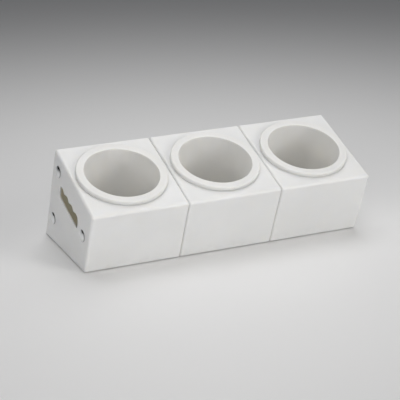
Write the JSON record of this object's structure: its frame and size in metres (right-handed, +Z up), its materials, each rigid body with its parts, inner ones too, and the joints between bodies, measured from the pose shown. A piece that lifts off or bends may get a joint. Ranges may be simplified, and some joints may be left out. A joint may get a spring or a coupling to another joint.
{
  "type": "cutlery stand",
  "caption": "White free-standing cutlery stand: a row of tilted box housings bolted side by side, each with a round lift-out cup in its sloped top, and scalloped hand slots in the side walls.",
  "frame": {"origin": "middle of the row and of its depth, on the table under the feet", "axes": "+X along the row to the right as seen from the front, -Y towards the user, +Z up"},
  "size_m": [0.4556, 0.2084, 0.1549],
  "materials": {
    "housing_plastic": "satin white moulded plastic",
    "cup_plastic": "satin white moulded plastic",
    "foot_rubber": "matt dark rubber",
    "bolt_steel": "polished stainless steel",
    "washer_steel": "bright zinc-plated steel",
    "nut_steel": "bright zinc-plated steel"
  },
  "bodies": {
    "stand": {"housing_left": "housing_plastic", "housing_middle": "housing_plastic", "housing_right": "housing_plastic", "foot_left_front_left": "foot_rubber", "foot_left_front_right": "foot_rubber", "foot_left_back_left": "foot_rubber", "foot_left_back_right": "foot_rubber", "foot_middle_front_left": "foot_rubber", "foot_middle_front_right": "foot_rubber", "foot_middle_back_left": "foot_rubber", "foot_middle_back_right": "foot_rubber", "foot_right_front_left": "foot_rubber", "foot_right_front_right": "foot_rubber", "foot_right_back_left": "foot_rubber", "foot_right_back_right": "foot_rubber", "end_bolts_left": "bolt_steel", "end_bolts_right": "bolt_steel", "seam_bolts_left": "bolt_steel", "seam_bolts_right": "bolt_steel", "end_washers_left": "washer_steel", "end_washers_right": "washer_steel", "seam_washers_left": "washer_steel", "seam_washers_right": "washer_steel", "end_nuts_left": "nut_steel", "end_nuts_right": "nut_steel", "seam_nuts_left": "nut_steel", "seam_nuts_right": "nut_steel"},
    "cup_left": {"cup_left": "cup_plastic"},
    "cup_middle": {"cup_middle": "cup_plastic"},
    "cup_right": {"cup_right": "cup_plastic"}
  },
  "joints": [
    {"name": "cup_left_lift", "type": "slide", "parent": "stand", "child": "cup_left", "axis": [0, -0.3486, 0.9373], "range_m": [0, 0.12]},
    {"name": "cup_middle_lift", "type": "slide", "parent": "stand", "child": "cup_middle", "axis": [0, -0.3486, 0.9373], "range_m": [0, 0.12]},
    {"name": "cup_right_lift", "type": "slide", "parent": "stand", "child": "cup_right", "axis": [0, -0.3486, 0.9373], "range_m": [0, 0.12]}
  ]
}
